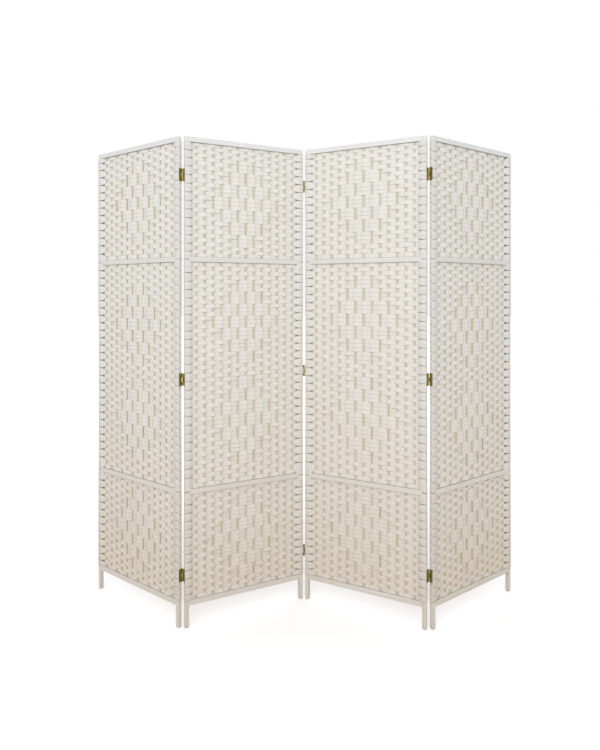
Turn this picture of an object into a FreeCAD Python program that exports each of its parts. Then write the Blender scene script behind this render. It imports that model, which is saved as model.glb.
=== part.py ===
import FreeCAD, Part
import math
import os

os.makedirs("parts", exist_ok=True)

# A folding screen of four woven panels that stands in a W, in millimetres.
# Each panel is a wooden frame with upright canes, and paper-fibre strips woven
# across the canes and wrapped round the posts. Three brass hinges join each pair.

# Frame of one panel
post_side = 15.0
opening_width = 460.0
rail_height = 18.0
bar_height = 18.0
leg_length = 78.0
bottom_field_height = 389.0
middle_field_height = 836.0
top_field_height = 423.0
tenon_length = 8.0
tenon_thickness = 6.0
tenon_height = 10.0
groove_depth = 8.0

# Glide under each post
glide_height = 2.0
glide_top_diameter = 13.0
glide_bottom_diameter = 12.0

# Flats that stand for the round of the small pieces that repeat
cane_sides = 6
small_round_sides = 12

# Canes and woven strips
cane_count = 13
cane_diameter = 5.0
cane_edge_run = 30.0
cane_play = 0.3
strip_thickness = 1.2
layer_play = 0.5
pinch_run = 10.0

# Diamonds in the weave: how many canes each group of rows spans on either side of the middle one
group_half_widths = (1, 2, 3, 4, 3, 2, 1)
window_edge_share = 0.35
# Where each diamond starts and ends from the top of its field, for the four panels in turn,
# because each panel is woven by hand and its rows lie a little differently
top_diamond_shares = ((0.097, 0.871), (0.121, 0.905), (0.095, 0.870), (0.078, 0.872))
upper_diamond_shares = ((0.092, 0.479), (0.078, 0.460), (0.058, 0.466), (0.087, 0.484))
lower_diamond_shares = ((0.537, 0.919), (0.517, 0.919), (0.524, 0.916), (0.543, 0.935))
bottom_diamond_shares = ((0.072, 0.893), (0.080, 0.889), (0.064, 0.885), (0.054, 0.885))

# Hinges
hinge_height = 47.0
# Heights of the hinges of the three joints in turn
hinge_centres = ((190.0, 908.0, 1660.0), (194.0, 915.0, 1653.0), (193.0, 910.0, 1661.0))
pin_diameter = 2.6
pin_play = 0.05
knuckle_wall = 1.15
knuckle_gap = 0.3
leaf_thickness = 1.0
leaf_inset = 0.5
hinge_clearance = 0.3
fold_clearance = 0.6

# Turn of each panel from the plane of the flat screen, seen from above
panel_turns = (-38.0, 27.0, -28.0, 37.0)
# A hinge at the back folds its two panels back to back, one at the front folds them face to face
BACK = 1
FRONT = -1
hinge_sides = (BACK, FRONT, BACK)

# Worked out from the sizes above
half_post = post_side / 2
half_opening = opening_width / 2
post_centre = half_opening + half_post
post_outer = half_opening + post_side
post_bottom = glide_height
rail_bottom = post_bottom + leg_length
bottom_field_base = rail_bottom + rail_height
lower_bar_base = bottom_field_base + bottom_field_height
middle_field_base = lower_bar_base + bar_height
upper_bar_base = middle_field_base + middle_field_height
top_field_base = upper_bar_base + bar_height
top_rail_base = top_field_base + top_field_height
screen_height = top_rail_base + rail_height

cane_radius = cane_diameter / 2
cane_pitch = (opening_width - 2 * cane_edge_run) / (cane_count - 1)
layer_inner = cane_radius + layer_play
layer_outer = layer_inner + strip_thickness
wrap_outer_x = post_outer + strip_thickness
wrap_outer_y = half_post + strip_thickness

knuckle_radius = pin_diameter / 2 + pin_play + knuckle_wall
half_gap = knuckle_radius + hinge_clearance
pivot_x = wrap_outer_x + half_gap
pivot_y = wrap_outer_y + fold_clearance
overrun = post_side


def upright_prism(points, base, height):
    """A solid with the outline of plan points, standing from base."""
    corners = [FreeCAD.Vector(x, y, base) for x, y in points]
    face = Part.Face(Part.makePolygon(corners + corners[:1]))
    return face.extrude(FreeCAD.Vector(0, 0, height))


def ring_points(radius, sides, centre_x=0):
    """The corners of a regular outline about a plan point, all at the radius."""
    turns = [2 * math.pi * corner / sides for corner in range(sides)]
    return [(centre_x + radius * math.cos(turn), radius * math.sin(turn)) for turn in turns]


def bore_points(radius, sides):
    """The corners of a regular outline whose flats lie at the radius."""
    return ring_points(radius / math.cos(math.pi / sides), sides)


def block(low, high):
    """A box between two corners."""
    low = FreeCAD.Vector(*low)
    size = FreeCAD.Vector(*high) - low
    return Part.makeBox(size.x, size.y, size.z, low)


def tenon(side, base):
    """The stub on a rail's end, and the shape of its mortise in the post."""
    middle = base + rail_height / 2
    reach = side * (half_opening + tenon_length)
    inner = side * half_opening
    return block(
        (min(inner, reach), -tenon_thickness / 2, middle - tenon_height / 2),
        (max(inner, reach), tenon_thickness / 2, middle + tenon_height / 2),
    )


def make_post(side):
    """A square post with a mortise for each rail."""
    centre = side * post_centre
    post = block(
        (centre - half_post, -half_post, post_bottom),
        (centre + half_post, half_post, screen_height),
    )
    for base in (rail_bottom, top_rail_base):
        post = post.cut(tenon(side, base))
    return post


def make_rail(base, groove_base):
    """A rail with a groove that takes the ends of the canes, and a tenon at each end."""
    rail = block(
        (-half_opening, -half_post, base),
        (half_opening, half_post, base + rail_height),
    )
    groove = block(
        (-half_opening, -cane_radius - cane_play, groove_base),
        (half_opening, cane_radius + cane_play, groove_base + groove_depth),
    )
    rail = rail.cut(groove)
    for side in (-1, 1):
        rail = rail.fuse(tenon(side, base))
    return rail.removeSplitter()


def make_crossbar(base):
    """Two battens that hold the canes between them, one at the front and one at the back."""
    inner = cane_radius + cane_play
    front = block((-half_opening, -half_post, base), (half_opening, -inner, base + bar_height))
    back = block((-half_opening, inner, base), (half_opening, half_post, base + bar_height))
    return Part.makeCompound([front, back])


def make_cane(place):
    """One upright cane, from the bottom rail's groove to the top rail's."""
    points = ring_points(cane_radius, cane_sides, place * cane_pitch)
    base = bottom_field_base - groove_depth
    return upright_prism(points, base, top_rail_base + groove_depth - base)


def make_canes():
    """The row of canes, evenly spaced between the posts."""
    middle = (cane_count - 1) / 2
    return Part.makeCompound([make_cane(number - middle) for number in range(cane_count)])


def make_band(half_width, group, base, height):
    """A group of rows that passes before and behind the canes of a diamond by turns."""
    reach = cane_radius + cane_play + strip_thickness / 2
    swing = reach / math.sqrt(1 - (2 * reach / cane_pitch) ** 2)
    slant = strip_thickness / 2 * swing / reach
    end = (half_width + 1) * cane_pitch - cane_radius - layer_play
    line = [(-end, 0)]
    for place in range(-half_width, half_width + 1):
        behind = (place + group) % 2 == 1
        line.append((place * cane_pitch, swing if behind else -swing))
    line.append((end, 0))
    back = [(x, y + slant) for x, y in line]
    front = [(x, y - slant) for x, y in reversed(line)]
    return upright_prism(back + front, base, height)


def make_diamond(top, height):
    """The bands of one diamond, downwards from its top, each group of rows a band."""
    bands = []
    for group, half_width in enumerate(group_half_widths):
        bands.append(make_band(half_width, group, top - (group + 1) * height, height))
    return bands


def diamond_window(top, height):
    """The opening in the plain weave that a diamond fills, from the height of one band."""
    narrow = (min(group_half_widths) + window_edge_share) * cane_pitch
    wide = (max(group_half_widths) + window_edge_share) * cane_pitch
    count = len(group_half_widths)
    shoulder = (count - 1) / 2 * height
    depth = count * height
    outline = [
        (-narrow, top),
        (narrow, top),
        (wide, top - shoulder),
        (wide, top - depth + shoulder),
        (narrow, top - depth),
        (-narrow, top - depth),
        (-wide, top - depth + shoulder),
        (-wide, top - shoulder),
    ]
    corners = [FreeCAD.Vector(x, -wrap_outer_y - overrun, z) for x, z in outline]
    face = Part.Face(Part.makePolygon(corners + corners[:1]))
    return face.extrude(FreeCAD.Vector(0, 2 * (wrap_outer_y + overrun), 0))


def make_sleeve(base, height):
    """The plain weave as a layer on each side of the canes that closes round both posts."""
    rings = []
    for x, y, layer in (
        (wrap_outer_x, wrap_outer_y, layer_outer),
        (post_outer, half_post, layer_inner),
    ):
        quarter = [(x, y), (half_opening, y), (half_opening - pinch_run, layer)]
        back = quarter + [(-a, b) for a, b in reversed(quarter)]
        front = [(-a, -b) for a, b in quarter] + [(a, -b) for a, b in reversed(quarter)]
        rings.append(upright_prism(back + front, base, height))
    return rings[0].cut(rings[1])


def make_weave(base, height, diamonds):
    """The woven strips of one field, with its diamonds one above the other."""
    sleeve = make_sleeve(base, height)
    bands = []
    for start, end in diamonds:
        top = base + height * (1 - start)
        band_height = height * (end - start) / len(group_half_widths)
        sleeve = sleeve.cut(diamond_window(top, band_height))
        bands.extend(make_diamond(top, band_height))
    return Part.makeCompound(sleeve.Solids + bands)


def make_glide(side):
    """A round glide that narrows a little towards the floor."""
    wires = []
    for diameter, height in ((glide_bottom_diameter, 0), (glide_top_diameter, glide_height)):
        points = ring_points(diameter / 2, small_round_sides, side * post_centre)
        corners = [FreeCAD.Vector(x, y, height) for x, y in points]
        wires.append(Part.makePolygon(corners + corners[:1]))
    return Part.makeLoft(wires, True, True)


def make_feet():
    """A glide under each post."""
    return Part.makeCompound([make_glide(side) for side in (-1, 1)])


def knuckle_spans(centre):
    """Where the knuckles of one hinge start and end: the outer two, and the middle one."""
    base = centre - hinge_height / 2
    length = (hinge_height - 2 * knuckle_gap) / 3
    step = length + knuckle_gap
    spans = [(base + number * step, base + number * step + length) for number in range(3)]
    return [spans[0], spans[2]], [spans[1]]


def make_leaf(panel_side, hinge_side, centre, own_spans, other_spans):
    """One hinge leaf about its pin, flat on the wrapped edge of its panel."""
    base = centre - hinge_height / 2
    face_x = panel_side * half_gap
    inner_x = panel_side * (half_gap - leaf_thickness)
    far_y = -hinge_side * (pivot_y + half_post - leaf_inset)
    leaf = block(
        (min(face_x, inner_x), min(far_y, 0), base),
        (max(face_x, inner_x), max(far_y, 0), base + hinge_height),
    )
    clear = knuckle_radius + hinge_clearance
    for low, high in other_spans:
        leaf = leaf.cut(
            block((-clear, -clear, low - knuckle_gap), (clear, clear, high + knuckle_gap))
        )
    barrel = ring_points(knuckle_radius, small_round_sides)
    for low, high in own_spans:
        leaf = leaf.fuse(upright_prism(barrel, low, high - low))
    bore = bore_points(pin_diameter / 2 + pin_play, small_round_sides)
    return leaf.cut(upright_prism(bore, base, hinge_height)).removeSplitter()


def make_leaves(panel_side, hinge_side, centres):
    """The three leaves that one panel carries at a joint."""
    leaves = []
    for centre in centres:
        outer, middle = knuckle_spans(centre)
        spans = (outer, middle) if panel_side < 0 else (middle, outer)
        leaves.append(make_leaf(panel_side, hinge_side, centre, *spans))
    return Part.makeCompound(leaves)


def make_pins(centres):
    """The three round pins of a joint, each as long as its hinge."""
    feet = [FreeCAD.Vector(0, 0, centre - hinge_height / 2) for centre in centres]
    return Part.makeCompound([Part.makeCylinder(pin_diameter / 2, hinge_height, foot) for foot in feet])


def panel_pieces(number):
    """The pieces of the panel of this number, in its own frame, its face towards -Y."""
    top, upper, lower, bottom = [
        shares[number]
        for shares in (
            top_diamond_shares,
            upper_diamond_shares,
            lower_diamond_shares,
            bottom_diamond_shares,
        )
    ]
    return {
        "left_post": make_post(-1),
        "right_post": make_post(1),
        "top_rail": make_rail(top_rail_base, top_rail_base),
        "upper_crossbar": make_crossbar(upper_bar_base),
        "lower_crossbar": make_crossbar(lower_bar_base),
        "bottom_rail": make_rail(rail_bottom, bottom_field_base - groove_depth),
        "canes": make_canes(),
        "weave_top": make_weave(top_field_base, top_field_height, [top]),
        "weave_middle": make_weave(middle_field_base, middle_field_height, [upper, lower]),
        "weave_bottom": make_weave(bottom_field_base, bottom_field_height, [bottom]),
        "feet": make_feet(),
    }


def hinge_pieces(hinge_side, centres):
    """The hinges of one joint about their common axis, with the panels in line."""
    return {
        "left_leaves": make_leaves(-1, hinge_side, centres),
        "right_leaves": make_leaves(1, hinge_side, centres),
        "pins": make_pins(centres),
    }


def turned(x, y, degrees):
    """A plan point turned about the origin."""
    angle = math.radians(degrees)
    return (
        x * math.cos(angle) - y * math.sin(angle),
        x * math.sin(angle) + y * math.cos(angle),
    )


def panel_places():
    """The middle of each panel and the place of each hinge axis, from the first panel on."""
    middles = [(0, 0)]
    axes = []
    for number, side in enumerate(hinge_sides):
        here = turned(pivot_x, side * pivot_y, panel_turns[number])
        axis = (middles[-1][0] + here[0], middles[-1][1] + here[1])
        there = turned(-pivot_x, side * pivot_y, panel_turns[number + 1])
        axes.append(axis)
        middles.append((axis[0] - there[0], axis[1] - there[1]))
    return middles, axes


def placed(shape, place, degrees):
    """A copy of a shape turned about the upright and moved in plan."""
    upright = FreeCAD.Rotation(FreeCAD.Vector(0, 0, 1), degrees)
    copy = shape.copy()
    copy.Placement = FreeCAD.Placement(FreeCAD.Vector(place[0], place[1], 0), upright)
    return copy


def make_screen():
    """Every piece of the screen in its place, as it stands."""
    middles, axes = panel_places()
    nodes = {}
    for number, (middle, turn) in enumerate(zip(middles, panel_turns)):
        for name, shape in panel_pieces(number).items():
            nodes["panel_%d_%s" % (number + 1, name)] = placed(shape, middle, turn)
    for number, (axis, side) in enumerate(zip(axes, hinge_sides)):
        label = "hinge_%d_%d_" % (number + 1, number + 2)
        pieces = hinge_pieces(side, hinge_centres[number])
        left_turn, right_turn = panel_turns[number], panel_turns[number + 1]
        nodes[label + "left_leaves"] = placed(pieces["left_leaves"], axis, left_turn)
        nodes[label + "right_leaves"] = placed(pieces["right_leaves"], axis, right_turn)
        nodes[label + "pins"] = placed(pieces["pins"], axis, left_turn)
    return nodes, axes


screen, hinge_axes = make_screen()
box = Part.makeCompound(list(screen.values())).BoundBox
shift = FreeCAD.Vector(-box.Center.x, -box.Center.y, -box.ZMin)
for node_name, node_shape in screen.items():
    node_shape.translate(shift)
    node_shape.exportStep("parts/" + node_name + ".step")
for axis_x, axis_y in hinge_axes:
    print("hinge axis at", round(axis_x + shift.x, 4), round(axis_y + shift.y, 4))
print("box", round(box.XLength, 2), round(box.YLength, 2), round(box.ZLength, 2))
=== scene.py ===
import math
import random

import bmesh
import bpy
from mathutils import Matrix, Vector


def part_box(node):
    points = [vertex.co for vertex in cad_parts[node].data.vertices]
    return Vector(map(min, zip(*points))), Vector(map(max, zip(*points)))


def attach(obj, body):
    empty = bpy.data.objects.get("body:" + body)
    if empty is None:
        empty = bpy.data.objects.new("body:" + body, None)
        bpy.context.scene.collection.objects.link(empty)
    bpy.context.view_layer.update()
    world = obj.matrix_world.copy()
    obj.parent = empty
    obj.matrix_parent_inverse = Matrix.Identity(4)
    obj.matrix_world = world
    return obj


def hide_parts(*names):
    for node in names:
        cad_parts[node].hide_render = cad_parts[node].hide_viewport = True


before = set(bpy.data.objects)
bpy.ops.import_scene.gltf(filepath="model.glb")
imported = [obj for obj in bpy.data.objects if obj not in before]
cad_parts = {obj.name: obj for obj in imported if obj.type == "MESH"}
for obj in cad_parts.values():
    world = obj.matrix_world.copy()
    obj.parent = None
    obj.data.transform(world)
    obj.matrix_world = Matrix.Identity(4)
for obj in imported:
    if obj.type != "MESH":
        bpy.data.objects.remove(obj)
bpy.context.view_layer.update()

# The folding screen of woven panels, dressed round its wooden frames. Sizes are in metres.
MM = 0.001
PANELS = (1, 2, 3, 4)
JOINTS = ((1, 2), (2, 3), (3, 4))

# Posts, canes and strips. A strip's edges flare out over a cane. Between canes they overlap a row
# that goes the other way, or lap one that goes the same way and lean under it. Its middle bellies
# out, and its edges hug the cane. The gaps are at a field's ends and between the bands on a post.
POST_SIDE = 15 * MM
CANE_COUNT = 13
CANE_RADIUS = 2.5 * MM
CANE_EDGE_RUN = 30 * MM
STRIP_THICKNESS = 0.8 * MM
STRIP_PLAY = 0.2 * MM
POST_PLAY = 0.1 * MM
ROW_UNEVENNESS = 0.3 * MM
FLARE = 1.2 * MM
FLARE_SHARES = (0.7, 1.2)
OVERLAP = 0.5 * MM
LAP = 0.7 * MM
LEAN = 0.22 * MM
BELLY = 0.2 * MM
HUG = 0.12 * MM
END_GAP = 0.1 * MM
BAND_GAP = 0.3 * MM

# Rows of strips in each group of a diamond, and how many canes a group spans beside the middle one
ROWS_IN_GROUP = 3
GROUP_HALF_WIDTHS = (1, 2, 3, 4, 3, 2, 1)
DIAMOND_ROWS = ROWS_IN_GROUP * len(GROUP_HALF_WIDTHS)
MIDDLE_CANE = (CANE_COUNT + 1) // 2

# Each diamond of a field: where it starts and ends from the field's top, as the construction has
# it, and the plain rows above and below it. The four panels in turn, since each is woven by hand.
FIELD_SHARES = {
    "top": (
        ((0.097, 0.871, 3, 3),),
        ((0.121, 0.905, 4, 3),),
        ((0.095, 0.870, 3, 3),),
        ((0.078, 0.872, 2, 3),),
    ),
    "middle": (
        ((0.092, 0.479, 5, 3), (0.537, 0.919, 0, 4)),
        ((0.078, 0.460, 4, 3), (0.517, 0.919, 0, 4)),
        ((0.058, 0.466, 3, 3), (0.524, 0.916, 0, 4)),
        ((0.087, 0.484, 5, 3), (0.543, 0.935, 0, 3)),
    ),
    "bottom": (
        ((0.072, 0.893, 2, 3),),
        ((0.080, 0.889, 2, 3),),
        ((0.064, 0.885, 2, 3),),
        ((0.054, 0.885, 2, 3),),
    ),
}

# Stations along a strip, from cane to cane and from the last cane to the post, where it fans out,
# and its last two on the post's face
STEPS_BETWEEN_CANES = 8
STEPS_TO_POST = 9
HUG_POWER = 2.2
CROSSING_SHARE = 0.3
FAN_POWER = 0.42
FACE_SHARE = 0.3
FACE_END = 2 * MM

# How a strip rounds the post's corners, and how soon its folds show as it comes to the post
CORNER_CUT = 0.1 * MM
CORNER_TURN = 0.3 * MM
FOLDS_BEGIN = 8 * MM

# Folds and creases of a strip
STRIP_SIDES = 12
PLEAT_DEPTH = 0.4 * MM
PLEAT_LENGTH = 16 * MM
PLEATS_ACROSS = 2.0
CREASE_LENGTH = 17 * MM
CREASES_ACROSS = 5.0

# Canes: their crookedness, its pace in a metre, and the sharp swellings at their joints, which
# shift from cane to cane
CANE_SIDES = 10
CANE_RINGS = 120
CANE_SLACK = 0.1 * MM
CANE_WANDER = 0.5 * MM
WANDER_PACE = (9.0, 9.0, 4.0)
CANE_JOINT_SPACING = 310 * MM
CANE_JOINT_SWELL = 0.35 * MM
CANE_JOINT_POWER = 28.0
CANE_JOINT_SHIFT = 37.0

# Sizes in the finishes. The fibres of the canes, the strokes of the brush in the paint and the
# polishing strokes on the brass are drawn coarser than real ones, so that they show.
PAPER_PATCH = 70 * MM
FIBRE_WIDTH, FIBRE_LENGTH = 1.1 * MM, 80 * MM
STAIN_WIDTH, STAIN_LENGTH = 25 * MM, 140 * MM
BRUSH_WIDTH, BRUSH_LENGTH = 3.8 * MM, 170 * MM
PAINT_BLOOM = 110 * MM
STROKE_WIDTH, STROKE_LENGTH = 0.7 * MM, 16 * MM
BRASS_PATCH = 6 * MM
GLIDE_PEEL = 0.55 * MM
GLIDE_CLOUD = 4.5 * MM

# Hinges, as the construction has them
HINGE_HEIGHT = 47 * MM
HINGE_CENTRES = (
    (190 * MM, 908 * MM, 1660 * MM),
    (194 * MM, 915 * MM, 1653 * MM),
    (193 * MM, 910 * MM, 1661 * MM),
)
HINGE_SIDES = (1, -1, 1)
KNUCKLE_RADIUS = 2.5 * MM
KNUCKLE_GAP = 0.3 * MM
KNUCKLE_EASING = 0.25 * MM
BORE_RADIUS = 1.35 * MM
PIN_RADIUS = 1.3 * MM
PIN_TIP_SHARE = 0.6
PIN_TIP_REACH = 0.5 * MM
PIN_EDGE_REACH = 0.1 * MM
LEAF_THICKNESS = 1.0 * MM
LEAF_REACH = 16.3 * MM
LEAF_CORNER = 2.0 * MM
LEAF_FACE = 2.8 * MM
LEAF_CLEARANCE = 2.8 * MM
SCREW_RADIUS = 2.0 * MM
SCREW_REACH = 9.5 * MM
SCREW_SPREAD = 15.0 * MM

# A screw head: half its slot, the rings of its sunken disc and of its dome, as shares of its radius
# and heights, and the turn of its slot in degrees, which differs from screw to screw
HALF_SLOT = 0.3 * MM
DISC_RINGS = ((1.0, 0), (0.97, 0.12 * MM))
DOME_RINGS = ((1.0, 0), (0.96, 0.22 * MM), (0.72, 0.42 * MM))
DOME_POINTS = 8
SLOT_TURN = 40
SLOT_TURN_BY_SCREW = 67
SLOT_TURN_BY_HEIGHT = 9000

# Glides, from the floor up
GLIDE_RADIUS = 6.5 * MM
GLIDE_EDGE = ((5.2 * MM, 0), (5.9 * MM, 0.25 * MM), (6.3 * MM, 0.8 * MM))

# Corners of turned pieces, the angles in degrees past which an edge stays sharp or is softened, and
# how wide the softened edges are
KNUCKLE_SIDES = 20
PIN_SIDES = 16
GLIDE_SIDES = 28
BRASS_EDGE = 40
GLIDE_SHARP_EDGE = 50
SOFTENED_EDGE = 50
LEAF_BEVEL = 0.2 * MM
POST_BEVEL = 1.2 * MM
RAIL_BEVEL = 1.0 * MM
WELD_REACH = 0.01 * MM

# The floor: half its side, how much a distance counts to the side, to the front and upwards, the
# distances over which its shadow fades out, how much it glows under the object, and the distances
# over which its warm light fades out
FLOOR_REACH = 30.0
DISTANCE_SHARES = (0.6, 1.0, 1.0)
SHADOW_NEAR, SHADOW_FAR = 0.8, 4.0
SHADOW_GLOW = 0.09
WARM_NEAR, WARM_FAR = 0.7, 2.0

# The lamps: place, size and watts
LAMPS = {
    "key": ((-0.8, -4.5, 2.6), (4.2, 3.2), 118),
    "fill": ((2.8, -3.6, 1.9), (2.6, 2.4), 8),
    "back": ((0.6, 4.5, 3.2), (3.4, 2.4), 40),
}
LAMP_TARGET = (0, 0, 0.95)
SKY_STRENGTH = 0.92

# The camera: millimetres of lens, shift, place, and turn in radians
LENS = 29.15
LENS_SHIFT = (0.0225, -0.109)
CAMERA_PLACE = (-0.0747, -2.3709, 1.2251)
CAMERA_TURN = 0.0041

# The kinds of nodes that are used most
NOISE = "ShaderNodeTexNoise"
RANGE = "ShaderNodeMapRange"
ATTRIBUTE = "GeometryNodeInputNamedAttribute"


def linear(code):
    """An sRGB hex colour as linear light."""
    parts = [int(code[place:place + 2], 16) / 255 for place in (1, 3, 5)]
    turned = [part / 12.92 if part <= 0.04045 else ((part + 0.055) / 1.055) ** 2.4 for part in parts]
    return (*turned, 1.0)


def per(size):
    """How often a pattern of this size repeats in a metre, as a texture's scale has it."""
    return 1 / size


def drawn_out(width, length):
    """The scale of a pattern of this width that is drawn out upright to this length."""
    return per(width), per(width), per(length)


def add(tree, kind, links=None, **settings):
    """A new node with its settings, and its inputs set or linked by name or number."""
    node = tree.nodes.new(kind)
    for name, value in settings.items():
        setattr(node, name, value)
    for key, value in (links or {}).items():
        socket = node.inputs[key]
        if isinstance(value, bpy.types.Node):
            value = next(output for output in value.outputs if output.enabled)
        if isinstance(value, bpy.types.NodeSocket):
            tree.links.new(value, socket)
        else:
            socket.default_value = value
    return node


def maths(tree, operation, *values):
    """What an operation makes of two or three numbers."""
    return add(tree, "ShaderNodeMath", dict(enumerate(values)), operation=operation)


def vector_maths(tree, operation, *values):
    """What an operation makes of one or two vectors."""
    return add(tree, "ShaderNodeVectorMath", dict(enumerate(values)), operation=operation)


def scaled(tree, vector, scale):
    """A vector times a number."""
    return add(tree, "ShaderNodeVectorMath", {0: vector, "Scale": scale}, operation="SCALE")


def blend(tree, share, *tones):
    """A colour at a share of the way between two tones, each an sRGB hex colour or a node."""
    first, second = (linear(tone) if isinstance(tone, str) else tone for tone in tones)
    return add(tree, "ShaderNodeMix", {"Factor": share, 6: first, 7: second}, data_type="RGBA")


def new_tree(name, inputs, output):
    """An empty tree for geometry, the sockets of its named inputs, and one output of geometry."""
    tree = bpy.data.node_groups.new(name, "GeometryNodeTree")
    for label, kind in inputs.items():
        tree.interface.new_socket(label, in_out="INPUT", socket_type="NodeSocket" + kind)
    tree.interface.new_socket(output, in_out="OUTPUT", socket_type="NodeSocketGeometry")
    return tree, add(tree, "NodeGroupInput").outputs


def ended(tree, given, shape, output):
    """The tree with its end: the shape made real and given its finish."""
    real = add(tree, "GeometryNodeRealizeInstances", {"Geometry": shape})
    finished = add(tree, "GeometryNodeSetMaterial", {"Geometry": real, "Material": given["Finish"]})
    add(tree, "NodeGroupOutput", {output: finished})
    return tree


def shown(name, data):
    """A new object in the scene, at the origin."""
    piece = bpy.data.objects.new(name, data)
    bpy.context.scene.collection.objects.link(piece)
    return piece


# The place of each panel


class Panel:
    """One panel's place and heights, read from its posts, rails and crossbars."""

    def __init__(self, number):
        self.number = number
        self.body = "panel_%d" % number
        left = self.middle_of("left_post")
        right = self.middle_of("right_post")
        across = right - left
        self.turn = math.atan2(across.y, across.x)
        middle = (left + right) / 2
        self.place = Matrix.Translation((middle.x, middle.y, 0)) @ Matrix.Rotation(self.turn, 4, "Z")
        self.post_centre = Vector((across.x, across.y)).length / 2
        opening = 2 * self.post_centre - POST_SIDE
        self.cane_pitch = (opening - 2 * CANE_EDGE_RUN) / (CANE_COUNT - 1)
        top_low = self.heights_of("top_rail")[0]
        upper_low, upper_high = self.heights_of("upper_crossbar")
        lower_low, lower_high = self.heights_of("lower_crossbar")
        bottom_low, bottom_high = self.heights_of("bottom_rail")
        self.half_bar = (upper_high - upper_low) / 2
        self.fields = {
            "top": (upper_high, top_low),
            "middle": (lower_high, upper_low),
            "bottom": (bottom_high, lower_low),
        }
        self.cane_ends = (bottom_low + self.half_bar, top_low + self.half_bar)

    def node(self, name):
        return "%s_%s" % (self.body, name)

    def middle_of(self, name):
        low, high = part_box(self.node(name))
        return (low + high) / 2

    def heights_of(self, name):
        low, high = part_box(self.node(name))
        return low.z, high.z

    def cane_x(self, place):
        """The middle of a cane, counted from 1 at the left."""
        return (place - MIDDLE_CANE) * self.cane_pitch


# The woven strips


def ease(share):
    """A share from 0 to 1 that starts and ends gently."""
    return (1 - math.cos(math.pi * share)) / 2


def mixed(first, second, share):
    """A value between two, at a share of the way from the first."""
    return first + (second - first) * share


def hugging(share):
    """How far a strip still stands off from the middle plane, from 1 at a cane to 0 where it
    crosses: it bends closely round the cane and lies flat between the canes."""
    return (1 - ease(share)) ** HUG_POWER


def side_of(upright, row):
    """1 where the strip of this row passes in front of an upright, -1 where it passes behind."""
    shows = (upright + row) % 2 == 0
    if 0 <= row < DIAMOND_ROWS:
        inside = abs(upright - MIDDLE_CANE) <= GROUP_HALF_WIDTHS[row // ROWS_IN_GROUP]
        if inside and row % ROWS_IN_GROUP == 1:
            shows = not shows
    return -1 if shows else 1


class Field:
    """One field of a panel: the course of its strip, row after row, from the top down."""

    def __init__(self, panel, name):
        self.panel = panel
        self.random = random.Random("strips %d %s" % (panel.number, name))
        self.base, self.top = panel.fields[name]
        self.rows = []
        self.seams = []
        self.bounds = [self.top]
        diamonds = FIELD_SHARES[name][panel.number - 1]
        ends = [diamond[0] for diamond in diamonds[1:]] + [1]
        for (start, end, above, below), next_start in zip(diamonds, ends):
            if self.rows:
                self.seams.append(len(self.rows))
            self.rows.extend(range(-above, DIAMOND_ROWS + below))
            for count, share in ((above, start), (DIAMOND_ROWS, end), (below, next_start)):
                self.lay_rows(count, self.top - share * (self.top - self.base))
        self.sides = [[side_of(place, row) for place in range(CANE_COUNT + 2)] for row in self.rows]
        self.post_top = self.top + (0 if name == "top" else panel.half_bar)
        self.post_base = self.base - (0 if name == "bottom" else panel.half_bar)

    def lay_rows(self, count, low):
        """Rows of one height from the last one laid down to a height, each a little uneven."""
        high = self.bounds[-1]
        for number in range(1, count + 1):
            shift = self.random.uniform(-ROW_UNEVENNESS, ROW_UNEVENNESS) if number < count else 0
            self.bounds.append(mixed(high, low, number / count) + shift)

    def height(self, index):
        """The middle of a row, or a place outside the field as far off as a row would be."""
        if index < 0:
            return self.top
        if index >= len(self.rows):
            return self.base
        return (self.bounds[index] + self.bounds[index + 1]) / 2

    def edge(self, index, way, upright, between):
        """How far a strip's edge lies from its middle line at an upright, or halfway to the next."""
        other = index + way
        half = (self.bounds[index] - self.bounds[index + 1]) / 2
        if not 0 <= other < len(self.rows):
            return half - END_GAP, 0
        seam = index in self.seams and way < 0 or index + 1 in self.seams and way > 0
        same = self.sides[other][upright] == self.sides[index][upright]
        if between:
            same = same and self.sides[other][upright + 1] == self.sides[index][upright + 1]
            return (half + LAP, 1) if same else (half + OVERLAP * (0 if seam else 1), 0)
        if same:
            return half + LAP, 1
        return half + FLARE * self.random.uniform(*FLARE_SHARES), 0

    def band(self, index):
        """The lowest and highest point of the band that a row makes on a post's face."""
        if index < 0:
            return self.post_top - END_GAP - STRIP_THICKNESS, self.post_top - END_GAP
        if index >= len(self.rows):
            return self.post_base + END_GAP, self.post_base + END_GAP + STRIP_THICKNESS
        high = self.post_top - END_GAP
        low = self.post_base + END_GAP
        if index - 2 >= 0:
            high = (self.height(index) + self.height(index - 2)) / 2 - BAND_GAP
        if index + 2 < len(self.rows):
            low = (self.height(index) + self.height(index + 2)) / 2 + BAND_GAP
        return low, high


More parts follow.
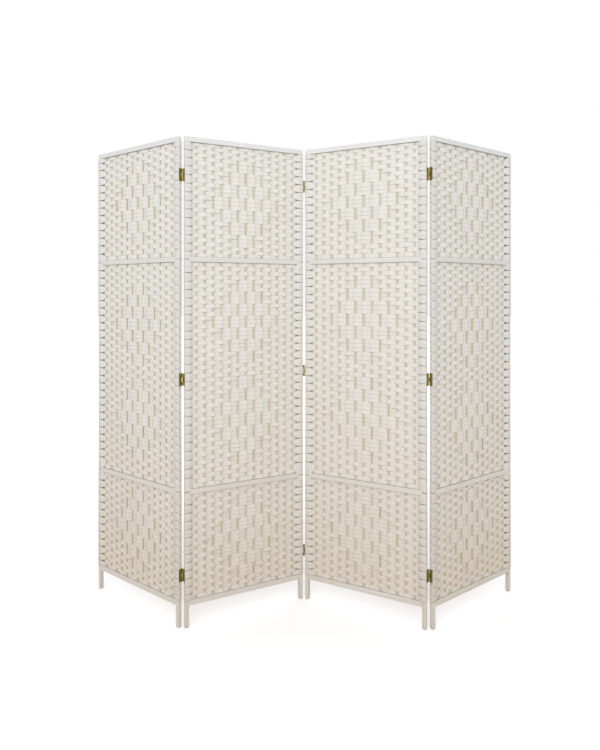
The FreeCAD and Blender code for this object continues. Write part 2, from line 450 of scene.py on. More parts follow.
def row_stations(field, index):
    """One row from the left corner to the right one: plan places, and the heights of its edges."""
    panel = field.panel
    sides = field.sides[index]
    depth = CANE_RADIUS + STRIP_THICKNESS / 2 + STRIP_PLAY
    post_depth = POST_SIDE / 2 + STRIP_THICKNESS / 2 + POST_PLAY
    middle = field.height(index)
    low_band, high_band = field.band(index)
    edges = []
    for upright in range(1, CANE_COUNT + 1):
        edges.append([field.edge(index, way, upright, False) for way in (-1, 1)])
    gaps = []
    for upright in range(CANE_COUNT + 1):
        gaps.append([field.edge(index, way, upright, True) for way in (-1, 1)])

    def station(x, y, reaches, sames):
        """A cross-section: bowed away from the cane, with a lapped edge tucked under the next row."""
        side = -y / depth
        sag = BELLY * side
        lower_y, upper_y = (
            y + tuck * LEAN * same + HUG * side * (1 - same)
            for tuck, same in zip((-1, 1), reversed(sames))
        )
        return (
            Vector((x, y - sag, middle + (reaches[0] - reaches[1]) / 2)),
            Vector((x, lower_y, middle - reaches[1])),
            Vector((x, upper_y, middle + reaches[0])),
        )

    def end_run(way):
        """The stations from the last cane to the post's outer corner, for one end."""
        last = CANE_COUNT if way > 0 else 1
        start_x = panel.cane_x(last)
        inner_x = way * (panel.post_centre - POST_SIDE / 2)
        corner_x = way * (panel.post_centre + POST_SIDE / 2 - FACE_END)
        edge, gap = edges[last - 1], gaps[CANE_COUNT if way > 0 else 0]
        start_y, end_y = -depth * sides[last], -post_depth * sides[-1 if way > 0 else 0]
        targets = (high_band - middle, middle - low_band)
        made = []
        for step in range(1, STEPS_TO_POST + 1):
            share = step / STEPS_TO_POST
            if share < CROSSING_SHARE:
                y = start_y * hugging(share / CROSSING_SHARE)
                reaches = [mixed(gap[number][0], edge[number][0], y / start_y) for number in (0, 1)]
            else:
                y = end_y * ease((share - CROSSING_SHARE) / (1 - CROSSING_SHARE))
                fan = (y / end_y) ** FAN_POWER
                reaches = [mixed(gap[number][0], targets[number], fan) for number in (0, 1)]
            made.append(station(mixed(start_x, inner_x, share), y, reaches, (0, 0)))
        for x in (mixed(inner_x, corner_x, FACE_SHARE), corner_x):
            made.append(station(x, end_y, targets, (0, 0)))
        return made

    stations = list(reversed(end_run(-1)))
    for upright in range(1, CANE_COUNT + 1):
        here = upright - 1
        x = panel.cane_x(upright)
        y = -depth * sides[upright]
        stations.append(station(x, y, *zip(*edges[here])))
        if upright == CANE_COUNT:
            break
        next_y = -depth * sides[upright + 1]
        for step in range(1, STEPS_BETWEEN_CANES):
            share = step / STEPS_BETWEEN_CANES
            nearest, near_y = (edges[here], y) if share < 0.5 else (edges[here + 1], next_y)
            off = 2 * min(share, 1 - share)
            swing = near_y * (hugging(off) if y * next_y < 0 else 1)
            narrow = 1 - abs(swing) / depth
            reaches = []
            sames = []
            for number in (0, 1):
                (wide, same), (slim, slim_same) = nearest[number], gaps[upright][number]
                reaches.append(mixed(wide, slim, narrow))
                sames.append(mixed(same, slim_same, narrow))
            stations.append(station(panel.cane_x(upright + share), swing, reaches, sames))
    stations.extend(end_run(1))
    return stations


def wrap_stations(field, first, second, way):
    """The strip's turn round a post, from the band of one row to the band of the next."""
    panel = field.panel
    face = panel.post_centre + POST_SIDE / 2
    out = STRIP_THICKNESS / 2 + POST_PLAY
    half = POST_SIDE / 2
    before = (
        (face - CORNER_CUT, half + out - CORNER_CUT),
        (face + out - CORNER_CUT, half - CORNER_TURN),
        (face + out, half / 2),
    )
    outline = (*before, (face + out, 0), *((x, -y) for x, y in reversed(before)))
    bands = [field.band(index) for index in (first, second)]
    made = []
    for step, (x, y) in enumerate(outline):
        share = step / (len(outline) - 1)
        low = mixed(bands[0][0], bands[1][0], share)
        high = mixed(bands[0][1], bands[1][1], share)
        place = (way * x, -way * y)
        made.append([Vector((*place, height)) for height in ((low + high) / 2, low, high)])
    return made


def strip_course(field):
    """Every station of a field's strip in order, as it winds from post to post and down."""
    count = len(field.rows)
    course = []
    for index in range(count):
        goes_right = field.sides[index][0] > 0
        stations = row_stations(field, index)
        way = 1 if goes_right else -1
        if index == 0:
            course.extend(wrap_stations(field, -1, 0, -way))
        course.extend(stations if goes_right else reversed(stations))
        course.extend(wrap_stations(field, index, index + 1, way))
    return course


def course_mesh(field, course):
    """The course as a line of edges, with the strip's edges and facing kept on its points."""
    place = field.panel.place
    turn = place.to_3x3()
    facings = []
    along = []
    on_post = []
    length = 0
    inner_face = field.panel.post_centre - POST_SIDE / 2
    for number, (middle, lower, upper) in enumerate(course):
        before = course[max(0, number - 1)][0]
        after = course[min(len(course) - 1, number + 1)][0]
        heading = (after - before).xy.normalized()
        facings.append(turn @ Vector((heading.y, -heading.x, 0)))
        length += (middle - before).length
        along.append(length)
        near = (abs(middle.x) - inner_face + FOLDS_BEGIN) / FOLDS_BEGIN
        on_post.append(min(1, max(0, near)))
    middles, lowers, uppers = ([place @ spot for spot in spots] for spots in zip(*course))
    mesh = bpy.data.meshes.new("strip_course")
    mesh.from_pydata(middles, [(number, number + 1) for number in range(len(course) - 1)], [])
    vectors = {"middle": middles, "lower": lowers, "upper": uppers, "facing": facings}
    for name, values in vectors.items():
        layer = mesh.attributes.new(name, "FLOAT_VECTOR", "POINT")
        layer.data.foreach_set("vector", [part for value in values for part in value])
    for name, values in (("along", along), ("on_post", on_post)):
        layer = mesh.attributes.new(name, "FLOAT", "POINT")
        layer.data.foreach_set("value", values)
    return mesh


def strip_tree():
    """Sweeps a strip along its course: a thin lens in section, bowed through its two edges
    and its middle, and pleated along its length."""
    sizes = ("Thickness", "Pleat depth", "Pleat length", "Pleats across", "Seed")
    inputs = {"Course": "Geometry", **dict.fromkeys(sizes, "Float"), "Finish": "Material"}
    tree, given = new_tree("woven_strip_tree", inputs, "Strips")

    line = add(tree, "GeometryNodeMeshToCurve", {"Mesh": given["Course"]})
    ring = add(tree, "GeometryNodeCurvePrimitiveCircle", {"Resolution": STRIP_SIDES, "Radius": 1.0})
    place = add(tree, "GeometryNodeInputPosition")
    profile = add(
        tree, "GeometryNodeStoreNamedAttribute",
        {"Geometry": ring, "Name": "section", "Value": place},
        data_type="FLOAT_VECTOR", domain="POINT",
    )
    swept = add(
        tree, "GeometryNodeCurveToMesh",
        {"Curve": line, "Profile Curve": profile, "Fill Caps": True},
    )
    middle, lower, upper, facing, section = (
        add(tree, ATTRIBUTE, {"Name": name}, data_type="FLOAT_VECTOR")
        for name in ("middle", "lower", "upper", "facing", "section")
    )
    along = add(tree, ATTRIBUTE, {"Name": "along"}, data_type="FLOAT")
    parts = add(tree, "ShaderNodeSeparateXYZ", {0: section})
    across, through = parts.outputs[0], parts.outputs[1]

    span = vector_maths(tree, "SUBTRACT", upper, lower)
    total = vector_maths(tree, "ADD", upper, lower)
    centre = scaled(tree, total, 0.5)
    bow = vector_maths(tree, "SUBTRACT", centre, middle)
    half = maths(tree, "MULTIPLY", across, 0.5)
    square = maths(tree, "MULTIPLY", across, across)
    to_edge = scaled(tree, span, half)
    to_bow = scaled(tree, bow, square)
    flat = vector_maths(tree, "ADD", to_edge, to_bow)
    sheet = vector_maths(tree, "ADD", middle, flat)

    run = maths(tree, "DIVIDE", along, given["Pleat length"])
    folds = maths(tree, "MULTIPLY", across, given["Pleats across"])
    spot = add(tree, "ShaderNodeCombineXYZ", {0: run, 1: folds, 2: given["Seed"]})
    crumple = add(tree, NOISE, {"Vector": spot, "Scale": 1.0, "Detail": 1.5})
    pleat = maths(tree, "SUBTRACT", crumple, 0.5)
    raised = maths(tree, "MULTIPLY", pleat, given["Pleat depth"])
    thick = maths(tree, "MULTIPLY", given["Thickness"], 0.5)
    out = maths(tree, "MULTIPLY_ADD", through, thick, raised)
    lift = scaled(tree, facing, out)
    target = vector_maths(tree, "ADD", sheet, lift)

    shaped = add(tree, "GeometryNodeSetPosition", {"Geometry": swept, "Position": target})
    smooth = add(tree, "GeometryNodeSetShadeSmooth", {"Geometry": shaped, "Shade Smooth": True})
    return ended(tree, given, smooth, "Strips")


def grown(name, mesh, tree, values):
    """The plain mesh object that a tree makes from a mesh, with its inputs set by name."""
    source = shown(name, mesh)
    modifier = source.modifiers.new("grow", "NODES")
    modifier.node_group = tree
    sockets = {item.name: item.identifier for item in tree.interface.items_tree}
    for key, value in values.items():
        modifier[sockets[key]] = value
    view = bpy.context.evaluated_depsgraph_get()
    view.update()
    made = bpy.data.meshes.new_from_object(
        source.evaluated_get(view), preserve_all_data_layers=True, depsgraph=view
    )
    source.modifiers.remove(modifier)
    made.name = name
    source.data = made
    return source


def make_strips(panel, tree, finish):
    """The woven strips of a panel's three fields."""
    for name in FIELD_SHARES:
        field = Field(panel, name)
        values = {
            "Thickness": STRIP_THICKNESS,
            "Pleat depth": PLEAT_DEPTH,
            "Pleat length": PLEAT_LENGTH,
            "Pleats across": PLEATS_ACROSS,
            "Seed": 10.0 * panel.number + len(name),
            "Finish": finish,
        }
        course = course_mesh(field, strip_course(field))
        piece = grown(panel.node("strips_" + name), course, tree, values)
        for spare in ("middle", "lower", "upper", "facing"):
            piece.data.attributes.remove(piece.data.attributes[spare])
        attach(piece, panel.body)
        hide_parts(panel.node("weave_" + name))


# The canes


def cane_tree():
    """A row of upright canes, each a little crooked and swollen at its joints."""
    sizes = ("Height", "Radius", "Wander", "Joint spacing", "Joint swell")
    inputs = {"Feet": "Geometry", **dict.fromkeys(sizes, "Float"), "Finish": "Material"}
    tree, given = new_tree("cane_tree", inputs, "Canes")

    end = add(tree, "ShaderNodeCombineXYZ", {2: given["Height"]})
    line = add(tree, "GeometryNodeCurvePrimitiveLine", {"End": end})
    divided = add(tree, "GeometryNodeResampleCurve", {"Curve": line, "Count": CANE_RINGS})
    ring = add(
        tree, "GeometryNodeCurvePrimitiveCircle",
        {"Resolution": CANE_SIDES, "Radius": given["Radius"]},
    )
    tube = add(
        tree, "GeometryNodeCurveToMesh",
        {"Curve": divided, "Profile Curve": ring, "Fill Caps": True},
    )
    row = add(tree, "GeometryNodeInstanceOnPoints", {"Points": given["Feet"], "Instance": tube})
    real = add(tree, "GeometryNodeRealizeInstances", {"Geometry": row})

    place = add(tree, "GeometryNodeInputPosition")
    parts = add(tree, "ShaderNodeSeparateXYZ", {0: place})
    slow = vector_maths(tree, "MULTIPLY", place, WANDER_PACE)
    drift = add(tree, NOISE, {"Vector": slow, "Scale": 1.0, "Detail": 1.0})
    even = vector_maths(tree, "SUBTRACT", drift.outputs[1], (0.5, 0.5, 0.5))
    level = vector_maths(tree, "MULTIPLY", even, (1.0, 1.0, 0.0))
    bend = scaled(tree, level, given["Wander"])

    across, height = parts.outputs[0], parts.outputs[2]
    start = maths(tree, "MULTIPLY", across, CANE_JOINT_SHIFT)
    count = maths(tree, "DIVIDE", height, given["Joint spacing"])
    phase = maths(tree, "ADD", count, start)
    wave = maths(tree, "PINGPONG", phase, 1.0)
    peak = maths(tree, "POWER", wave, CANE_JOINT_POWER)
    swell = maths(tree, "MULTIPLY", peak, given["Joint swell"])
    outward = add(tree, "GeometryNodeInputNormal")
    joint = scaled(tree, outward, swell)
    moved = vector_maths(tree, "ADD", bend, joint)
    shaped = add(tree, "GeometryNodeSetPosition", {"Geometry": real, "Offset": moved})
    smooth = add(tree, "GeometryNodeSetShadeSmooth", {"Geometry": shaped, "Shade Smooth": True})
    return ended(tree, given, smooth, "Canes")


def make_canes(panel, tree, finish):
    """The row of canes of a panel, from its bottom rail to its top rail."""
    base, top = panel.cane_ends
    mesh = bpy.data.meshes.new("cane_feet")
    uprights = range(1, CANE_COUNT + 1)
    feet = [panel.place @ Vector((panel.cane_x(upright), 0, base)) for upright in uprights]
    mesh.from_pydata(feet, [], [])
    values = {
        "Height": top - base,
        "Radius": CANE_RADIUS - CANE_SLACK,
        "Wander": CANE_WANDER,
        "Joint spacing": CANE_JOINT_SPACING,
        "Joint swell": CANE_JOINT_SWELL,
        "Finish": finish,
    }
    piece = grown(panel.node("round_canes"), mesh, tree, values)
    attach(piece, panel.body)
    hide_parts(panel.node("canes"))


# Turned and flat metal pieces


def walls(count, here, there):
    """The faces between two rings of as many points, from the first point of each."""
    corners = [(corner, (corner + 1) % count) for corner in range(count)]
    return [(here + corner, here + after, there + after, there + corner) for corner, after in corners]


def turned_shape(profile, place, sides, hollow=False):
    """A shape turned about an upright axis from rings of a radius and a height, bottom ring first.
    A hollow one comes back to its first ring and has no end faces."""
    points = []
    for radius, height in profile:
        for corner in range(sides):
            angle = 2 * math.pi * corner / sides
            points.append(place @ Vector((radius * math.cos(angle), radius * math.sin(angle), height)))
    rings = len(profile)
    faces = []
    for ring in range(rings if hollow else rings - 1):
        faces.extend(walls(sides, ring * sides, (ring + 1) % rings * sides))
    if not hollow:
        faces.append(tuple(range(sides)))
        faces.append(tuple(range((rings - 1) * sides, rings * sides)))
    return points, faces


def flat_shape(outline, low, high, place):
    """A plate with an outline of reach and height, between two places across the hinge."""
    count = len(outline)
    points = [place @ Vector((across, *spot)) for across in (low, high) for spot in outline]
    return points, [tuple(range(count)), tuple(range(count, 2 * count)), *walls(count, 0, count)]


def joined(name, shapes, finish, sharp_past=0):
    """One mesh object from several closed shapes, every face turned outwards, smooth but for the
    edges past an angle in degrees where one is given."""
    points = []
    faces = []
    for shape_points, shape_faces in shapes:
        offset = len(points)
        points.extend(shape_points)
        faces.extend(tuple(corner + offset for corner in face) for face in shape_faces)
    mesh = bpy.data.meshes.new(name)
    mesh.from_pydata(points, [], faces)
    shaped = bmesh.new()
    shaped.from_mesh(mesh)
    bmesh.ops.recalc_face_normals(shaped, faces=shaped.faces)
    shaped.to_mesh(mesh)
    shaped.free()
    if sharp_past:
        mesh.shade_smooth()
        mesh.set_sharp_from_angle(angle=math.radians(sharp_past))
    mesh.materials.append(finish)
    return shown(name, mesh)


# The hinges


class Leaf:
    """One leaf of one hinge: its place, its side, and the heights of its knuckles."""

    def __init__(self, place, panel_side, hinge_side, centre):
        self.place = place
        self.panel_side = panel_side
        self.reach_way = -hinge_side
        self.centre = centre
        self.base = centre - HINGE_HEIGHT / 2
        self.top = centre + HINGE_HEIGHT / 2
        length = (HINGE_HEIGHT - 2 * KNUCKLE_GAP) / 3
        step = length + KNUCKLE_GAP
        lows = [self.base + number * step for number in range(3)]
        spans = [(low, low + length) for low in lows]
        self.spans = (spans[0], spans[2]) if panel_side < 0 else (spans[1],)

    def knuckles(self):
        """The barrel's pieces that belong to this leaf, bored for the pin."""
        shapes = []
        for low, high in self.spans:
            profile = (
                (BORE_RADIUS, low),
                (KNUCKLE_RADIUS - KNUCKLE_EASING, low),
                (KNUCKLE_RADIUS, low + KNUCKLE_EASING),
                (KNUCKLE_RADIUS, high - KNUCKLE_EASING),
                (KNUCKLE_RADIUS - KNUCKLE_EASING, high),
                (BORE_RADIUS, high),
            )
            shapes.append(turned_shape(profile, self.place, KNUCKLE_SIDES, hollow=True))
        return shapes

    def plate(self):
        """The flat leaf, cut back where the other leaf's knuckles are, its far corners rounded."""
        if self.panel_side < 0:
            ends, notch = 0, LEAF_CLEARANCE
            first, last = self.spans[0][1], self.spans[1][0]
        else:
            ends, notch = LEAF_CLEARANCE, 0
            first, last = self.spans[0]
        inner = [(ends, self.base), (ends, first), (notch, first)]
        inner += [(notch, last), (ends, last), (ends, self.top)]
        arc = [math.radians(degrees) for degrees in (0, 22.5, 45, 67.5, 90)]
        centre = LEAF_REACH - LEAF_CORNER
        upper = [
            (centre + LEAF_CORNER * math.sin(angle), self.top - LEAF_CORNER * (1 - math.cos(angle)))
            for angle in arc
        ]
        lower = [(reach, 2 * self.centre - height) for reach, height in reversed(upper)]
        outline = [(self.reach_way * reach, height) for reach, height in inner + upper + lower]
        face = self.panel_side * LEAF_FACE
        return flat_shape(outline, face - self.panel_side * LEAF_THICKNESS, face, self.place)

    def screws(self):
        """The places and turns of the leaf's three screw heads, on the face towards the joint."""
        across = self.panel_side * (LEAF_FACE - LEAF_THICKNESS)
        outward = Matrix.Rotation(math.radians(-90 * self.panel_side), 4, "Y")
        for number in (-1, 0, 1):
            height = self.centre + number * SCREW_SPREAD
            spot = Vector((across, self.reach_way * SCREW_REACH, height))
            turn = SLOT_TURN + SLOT_TURN_BY_SCREW * number + SLOT_TURN_BY_HEIGHT * self.centre
            spin = Matrix.Rotation(math.radians(turn), 4, "Z")
            yield self.place @ spot, (self.place @ outward @ spin).to_euler()


def screw_head():
    """A low domed screw head with a slot: two rounded halves on a sunken disc."""
    disc = [(SCREW_RADIUS * share, height) for share, height in DISC_RINGS]
    shapes = [turned_shape(disc, Matrix.Identity(4), 2 * DOME_POINTS)]
    count = DOME_POINTS
    for way in (-1, 1):
        points = []
        for share, height in DOME_RINGS:
            radius = SCREW_RADIUS * share
            edge = math.asin(HALF_SLOT / radius)
            for step in range(count):
                angle = mixed(edge, math.pi - edge, step / (count - 1))
                across, beside = radius * math.cos(angle), way * radius * math.sin(angle)
                points.append(Vector((across, beside, height)))
        faces = [tuple(range(count)), tuple(range(2 * count, 3 * count))]
        faces += walls(count, 0, count) + walls(count, count, 2 * count)
        shapes.append((points, faces))
    return shapes


def screw_tree():
    """Sets a screw head at every point, turned as the point says."""
    inputs = {"Places": "Geometry", "Head": "Object", "Finish": "Material"}
    tree, given = new_tree("hinge_screw_tree", inputs, "Screws")
    head = add(tree, "GeometryNodeObjectInfo", {"Object": given["Head"]}).outputs["Geometry"]
    turn = add(tree, ATTRIBUTE, {"Name": "turn"}, data_type="FLOAT_VECTOR")
    placed = add(
        tree, "GeometryNodeInstanceOnPoints",
        {"Points": given["Places"], "Instance": head, "Rotation": turn},
    )
    return ended(tree, given, placed, "Screws")


def soften(piece, width, weld=False):
    """Slightly rounded edges where a piece's faces meet sharply."""
    if weld:
        piece.modifiers.new("weld", "WELD").merge_threshold = WELD_REACH
    bevel = piece.modifiers.new("soften", "BEVEL")
    bevel.width = width
    bevel.segments = 2
    bevel.limit_method = "ANGLE"
    bevel.angle_limit = math.radians(SOFTENED_EDGE)
    bevel.harden_normals = True


def make_hinges(panels, brass):
    """The leaves, screws and pins of the three joints."""
    tree = screw_tree()
    head = joined("screw_head", screw_head(), brass, BRASS_EDGE)
    screws = {panel.number: [] for panel in panels}
    for joint, (left, right) in enumerate(JOINTS):
        label = "hinge_%d_%d_" % (left, right)
        low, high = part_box(label + "pins")
        axis = Matrix.Translation(((low.x + high.x) / 2, (low.y + high.y) / 2, 0))
        for word, panel_side, number in (("left", -1, left), ("right", 1, right)):
            panel = panels[number - 1]
            place = axis @ Matrix.Rotation(panel.turn, 4, "Z")
            side = HINGE_SIDES[joint]
            leaves = [Leaf(place, panel_side, side, centre) for centre in HINGE_CENTRES[joint]]
            plates = joined(label + word + "_plates", [leaf.plate() for leaf in leaves], brass)
            soften(plates, LEAF_BEVEL)
            knuckles = [shape for leaf in leaves for shape in leaf.knuckles()]
            barrels = joined(label + word + "_knuckles", knuckles, brass, BRASS_EDGE)
            for piece in (plates, barrels):
                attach(piece, panel.body)
                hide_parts(label + word + "_leaves")
            screws[number].extend(screw for leaf in leaves for screw in leaf.screws())
        pins = []
        for centre in HINGE_CENTRES[joint]:
            end = HINGE_HEIGHT / 2
            profile = (
                (PIN_TIP_SHARE * PIN_RADIUS, centre - end - PIN_TIP_REACH),
                (PIN_RADIUS, centre - end - PIN_EDGE_REACH),
                (PIN_RADIUS, centre + end + PIN_EDGE_REACH),
                (PIN_TIP_SHARE * PIN_RADIUS, centre + end + PIN_TIP_REACH),
            )
            pins.append(turned_shape(profile, axis, PIN_SIDES))
        piece = joined(label + "round_pins", pins, brass, BRASS_EDGE)
        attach(piece, panels[left - 1].body)
        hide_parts(label + "pins")
    for panel in panels:
        mesh = bpy.data.meshes.new("screw_places")
        spots, turns = zip(*screws[panel.number])
        mesh.from_pydata(spots, [], [])
        layer = mesh.attributes.new("turn", "FLOAT_VECTOR", "POINT")
        layer.data.foreach_set("vector", [part for turn in turns for part in turn])
        piece = grown(panel.node("hinge_screws"), mesh, tree, {"Head": head, "Finish": brass})
        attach(piece, panel.body)
    bpy.data.objects.remove(head)


# The glides


def make_glides(panel, finish):
    """A round glide under each post, its lower edge rounded off."""
    low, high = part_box(panel.node("feet"))
    shapes = []
    for way in (-1, 1):
        place = panel.place @ Matrix.Translation((way * panel.post_centre, 0, low.z))
        profile = (*GLIDE_EDGE, (GLIDE_RADIUS, high.z - low.z))
        shapes.append(turned_shape(profile, place, GLIDE_SIDES))
    piece = joined(panel.node("round_glides"), shapes, finish, GLIDE_SHARP_EDGE)
    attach(piece, panel.body)
    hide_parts(panel.node("feet"))


# Finishes


def new_material(name):
    """An empty material, its tree, and the place on the object that its patterns read."""
    material = bpy.data.materials.new(name)
    material.use_nodes = True
    tree = material.node_tree
    tree.nodes.clear()
    return material, tree, add(tree, "ShaderNodeTexCoord").outputs["Object"]


def surfaced(material, shader):
    """The material with a shader as its surface."""
    add(material.node_tree, "ShaderNodeOutputMaterial", {"Surface": shader})
    return material


def mottled(tree, place, size, detail, tones):
    """A colour that drifts between two tones in soft patches of a size."""
    patch = add(tree, NOISE, {"Vector": place, "Scale": per(size), "Detail": detail})
    return blend(tree, patch, *tones)


def streaked(tree, place, scale, detail):
    """A pattern drawn out into streaks, as its scale says."""
    stretched = add(tree, "ShaderNodeMapping", {"Vector": place, "Scale": scale})
    return add(tree, NOISE, {"Vector": stretched, "Scale": 1.0, "Detail": detail})


def paper_strip():
    """Twisted paper-fibre cord opened flat: matt ivory, with long soft creases from the twist,
    sharper folds where it lies on a post, and a little light let through. Its colour darkens in
    the low parts of the creases and along the folds on a post as painted shade."""
    material, tree, place = new_material("paper_fibre_strip")
    along = add(tree, "ShaderNodeAttribute", attribute_name="along").outputs["Fac"]
    on_post = add(tree, "ShaderNodeAttribute", attribute_name="on_post").outputs["Fac"]
    section = add(tree, "ShaderNodeAttribute", attribute_name="section").outputs["Vector"]
    parts = add(tree, "ShaderNodeSeparateXYZ", {0: section})
    across, through = parts.outputs[0], parts.outputs[1]
    crease_run = maths(tree, "DIVIDE", along, CREASE_LENGTH)
    crease_width = maths(tree, "MULTIPLY", across, CREASES_ACROSS)
    crease_spot = add(tree, "ShaderNodeCombineXYZ", {0: crease_run, 1: crease_width, 2: through})
    crease = add(tree, NOISE, {"Vector": crease_spot, "Scale": 1.0, "Detail": 4.0, "Roughness": 0.6})
    tint = mottled(tree, place, PAPER_PATCH, 3.0, ("#F3F2EB", "#EDEAE1"))
    # Painted shade: where the crease pattern is low, the ivory colour darkens towards #D8CDBC.
    hollow = add(
        tree, RANGE,
        {"Value": crease, "From Min": 0.30, "From Max": 0.52, "To Min": 0.25, "To Max": 0.0},
    )
    wander = maths(tree, "MULTIPLY", crease, 0.18)
    line = maths(tree, "ADD", across, wander)
    fold = maths(tree, "PINGPONG", line, 0.5)
    fold_line = add(
        tree, RANGE,
        {"Value": fold, "From Min": 0.0, "From Max": 0.09, "To Min": 0.9, "To Max": 0.0},
    )
    # Painted shade along the middle fold of a strip on a post; the same mask also dents the surface.
    fold_dent_and_shade = maths(tree, "MULTIPLY", fold_line, on_post)
    # Painted shade of the creases and the folds, mixed into the ivory colour.
    painted_shade = maths(tree, "MAXIMUM", hollow, fold_dent_and_shade)
    colour = blend(tree, painted_shade, tint, "#D8CDBC")
    deep = maths(tree, "MULTIPLY_ADD", fold_dent_and_shade, -1.5, crease)
    relief = add(tree, "ShaderNodeBump", {"Height": deep, "Strength": 0.4, "Distance": 0.5 * MM})
    shader = add(
        tree, "ShaderNodeBsdfPrincipled",
        {
            "Base Color": colour,
            "Roughness": 0.78,
            "IOR": 1.45,
            "Specular IOR Level": 0.3,
            "Normal": relief,
        },
    )
    lit = add(tree, "ShaderNodeBsdfTranslucent", {"Color": linear("#EFDDBA"), "Normal": relief})
    sheet = add(tree, "ShaderNodeMixShader", {0: 0.25, 1: shader, 2: lit})
    return surfaced(material, sheet)


def round_cane():
    """Peeled rattan core: satin tan, paler and browner by turns along its length, with fine darker
    fibre lines."""
    material, tree, place = new_material("rattan_core")
    fibre = streaked(tree, place, drawn_out(FIBRE_WIDTH, FIBRE_LENGTH), 3.0)
    stain = streaked(tree, place, drawn_out(STAIN_WIDTH, STAIN_LENGTH), 2.0)
    ramp = add(tree, RANGE, {"Value": stain, "From Min": 0.35, "From Max": 0.65})
    tone = blend(tree, ramp, "#D9D1BB", "#CABB9B")
    lines = maths(tree, "MULTIPLY", fibre, 0.35)
    colour = blend(tree, lines, tone, "#A39173")
    relief = add(tree, "ShaderNodeBump", {"Height": fibre, "Strength": 0.3, "Distance": 0.2 * MM})
    shader = add(
        tree, "ShaderNodeBsdfPrincipled",
        {"Base Color": colour, "Roughness": 0.5, "IOR": 1.5, "Normal": relief},
    )
    return surfaced(material, shader)


def painted_wood(name, turn, grain, tones=("#DFDCD5", "#D4D0C7")):
    """Off-white satin paint on softwood: even and pale, with faint brush lines along the piece
    and a soft, slightly warmer bloom where the paint has aged."""
    material, tree, place = new_material(name)
    turned = add(tree, "ShaderNodeMapping", {"Vector": place, "Rotation": (0, 0, -turn)})
    brush = streaked(tree, turned, grain, 4.0)
    colour = mottled(tree, place, PAINT_BLOOM, 3.0, tones)
    rough = add(tree, RANGE, {"Value": brush, "To Min": 0.38, "To Max": 0.56})
    relief = add(tree, "ShaderNodeBump", {"Height": brush, "Strength": 0.25, "Distance": 0.3 * MM})
    shader = add(
        tree, "ShaderNodeBsdfPrincipled",
        {"Base Color": colour, "Roughness": rough, "IOR": 1.5, "Normal": relief},
    )
    return surfaced(material, shader)


def dulled_brass():
    """Rolled brass under an old lacquer: olive-gold, brushed up and down, browner in patches."""
    material, tree, place = new_material("dulled_brass")
    brush = streaked(tree, place, drawn_out(STROKE_WIDTH, STROKE_LENGTH), 2.0)
    colour = mottled(tree, place, BRASS_PATCH, 3.0, ("#ADA15A", "#75683A"))
    rough = add(tree, RANGE, {"Value": brush, "To Min": 0.28, "To Max": 0.5})
    shader = add(
        tree, "ShaderNodeBsdfPrincipled",
        {"Base Color": colour, "Metallic": 1.0, "Roughness": rough},
    )
    return surfaced(material, shader)


def moulded_glide():
    """Moulded polyethylene: greyish beige, softly shiny, with a fine orange-peel surface."""
    material, tree, place = new_material("moulded_polyethylene")
    peel = add(tree, NOISE, {"Vector": place, "Scale": per(GLIDE_PEEL), "Detail": 2.0})
    colour = mottled(tree, place, GLIDE_CLOUD, 2.0, ("#B4AC9C", "#9F9686"))
    relief = add(tree, "ShaderNodeBump", {"Height": peel, "Strength": 0.2, "Distance": 0.1 * MM})
    shader = add(
        tree, "ShaderNodeBsdfPrincipled",
        {"Base Color": colour, "Roughness": 0.42, "IOR": 1.51, "Normal": relief},
    )
    return surfaced(material, shader)


def give(node, material, bevel):
    """A finish, and softened edges, for a piece of the construction that keeps its shape."""
    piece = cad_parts[node]
    piece.data.materials.clear()
    piece.data.materials.append(material)
    soften(piece, bevel, weld=True)


# Floor, background and light


def make_floor():
    """A plain pale floor that is white to the eye and keeps a faint shadow, and that throws a warm
    light back near the object."""
    material, tree, place = new_material("pale_floor")
    path = add(tree, "ShaderNodeLightPath").outputs
    seen = maths(tree, "ADD", path["Is Camera Ray"], path["Is Glossy Ray"])
    white = add(tree, "ShaderNodeBsdfDiffuse", {"Color": linear("#FFFCF7")})
    counted = add(tree, "ShaderNodeMapping", {"Vector": place, "Scale": DISTANCE_SHARES})
    away = vector_maths(tree, "LENGTH", counted)
    lift = add(
        tree, RANGE,
        {
            "Value": away,
            "From Min": SHADOW_NEAR,
            "From Max": SHADOW_FAR,
            "To Min": SHADOW_GLOW,
            "To Max": 1.0,
        },
    )
    far = add(tree, RANGE, {"Value": away, "From Min": WARM_NEAR, "From Max": WARM_FAR})
    ground = blend(tree, far, "#A87F34", "#CAD1DB")
    matt = add(tree, "ShaderNodeBsdfDiffuse", {"Color": ground})
    glow = add(tree, "ShaderNodeEmission", {"Color": linear("#FFFFFF"), "Strength": lift})
    bright = add(tree, "ShaderNodeAddShader", {0: white, 1: glow})
    shader = add(tree, "ShaderNodeMixShader", {0: seen, 1: matt, 2: bright})
    surfaced(material, shader)
    mesh = bpy.data.meshes.new("floor")
    ways = ((-1, -1), (1, -1), (1, 1), (-1, 1))
    corners = [(FLOOR_REACH * across, FLOOR_REACH * deep, 0) for across, deep in ways]
    mesh.from_pydata(corners, [], [(0, 1, 2, 3)])
    mesh.materials.append(material)
    floor = shown("floor", mesh)


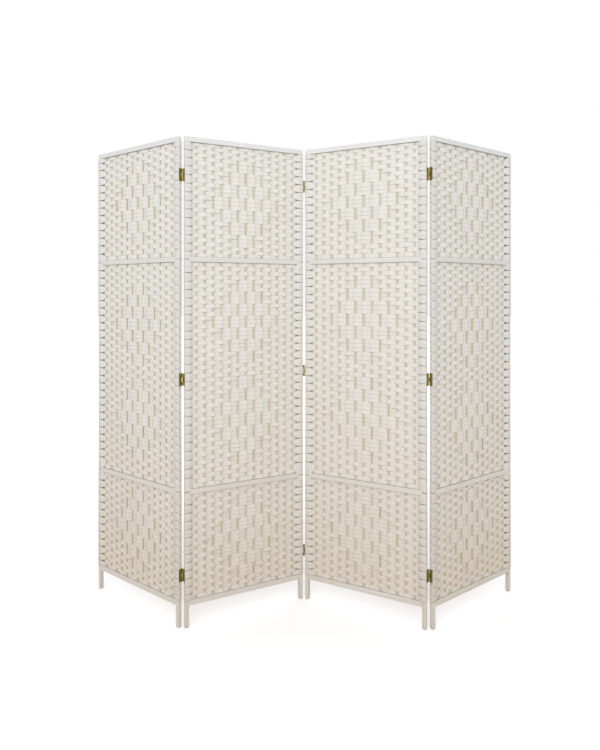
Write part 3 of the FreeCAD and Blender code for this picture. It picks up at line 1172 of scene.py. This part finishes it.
def make_world():
    """Soft light from all round, and plain white where the eye or a mirror sees past the object."""
    world = bpy.data.worlds.new("studio")
    world.use_nodes = True
    tree = world.node_tree
    tree.nodes.clear()
    path = add(tree, "ShaderNodeLightPath").outputs
    seen = maths(tree, "ADD", path["Is Camera Ray"], path["Is Glossy Ray"])
    clear = maths(tree, "ADD", seen, path["Is Transmission Ray"])
    strength = add(tree, RANGE, {"Value": clear, "To Min": SKY_STRENGTH, "To Max": 1.0})
    tone = blend(tree, clear, "#F3F7FF", "#FFFFFF")
    light = add(tree, "ShaderNodeBackground", {"Color": tone, "Strength": strength})
    add(tree, "ShaderNodeOutputWorld", {"Surface": light})
    bpy.context.scene.world = world


def softbox(name, place, size, power):
    """A large oblong lamp at a place, aimed at the middle of the screen."""
    lamp = bpy.data.lights.new(name, "AREA")
    lamp.shape = "RECTANGLE"
    lamp.size, lamp.size_y = size
    lamp.energy = power
    lamp.color = linear("#F5F9FF")[:3]
    piece = shown(name, lamp)
    piece.location = place
    aim = Vector(LAMP_TARGET) - Vector(place)
    piece.rotation_euler = aim.to_track_quat("-Z", "Y").to_euler()


def make_camera():
    """The photograph's view, found from the eight posts: level, a little left of the middle."""
    lens = bpy.data.cameras.new("camera")
    lens.lens = LENS
    lens.shift_x, lens.shift_y = LENS_SHIFT
    camera = shown("camera", lens)
    camera.location = CAMERA_PLACE
    camera.rotation_euler = (math.radians(90), 0, CAMERA_TURN)
    bpy.context.scene.camera = camera


def make_stage():
    """The floor, the background and the lamps."""
    make_floor()
    make_world()
    for name, (place, size, power) in LAMPS.items():
        softbox(name, place, size, power)
    bpy.context.scene.view_settings.view_transform = "Standard"


def make_screen():
    """Every piece of the screen, panel by panel and joint by joint."""
    strips, canes = strip_tree(), cane_tree()
    paper, rattan, brass, glide = paper_strip(), round_cane(), dulled_brass(), moulded_glide()
    grain = drawn_out(BRUSH_WIDTH, BRUSH_LENGTH)
    upright = painted_wood("satin_paint_upright", 0, grain)
    flat = grain[::-1]
    panels = [Panel(number) for number in PANELS]
    for panel in panels:
        level = painted_wood("satin_paint_level_%d" % panel.number, panel.turn, flat)
        batten = painted_wood(
            "worn_paint_batten_%d" % panel.number, panel.turn, flat, ("#DCD7CD", "#D1CABE")
        )
        make_strips(panel, strips, paper)
        make_canes(panel, canes, rattan)
        make_glides(panel, glide)
        for name in ("left_post", "right_post"):
            give(panel.node(name), upright, POST_BEVEL)
        for name in ("top_rail", "bottom_rail"):
            give(panel.node(name), level, RAIL_BEVEL)
        for name in ("upper_crossbar", "lower_crossbar"):
            give(panel.node(name), batten, RAIL_BEVEL)
    make_hinges(panels, brass)


make_camera()
make_stage()
make_screen()
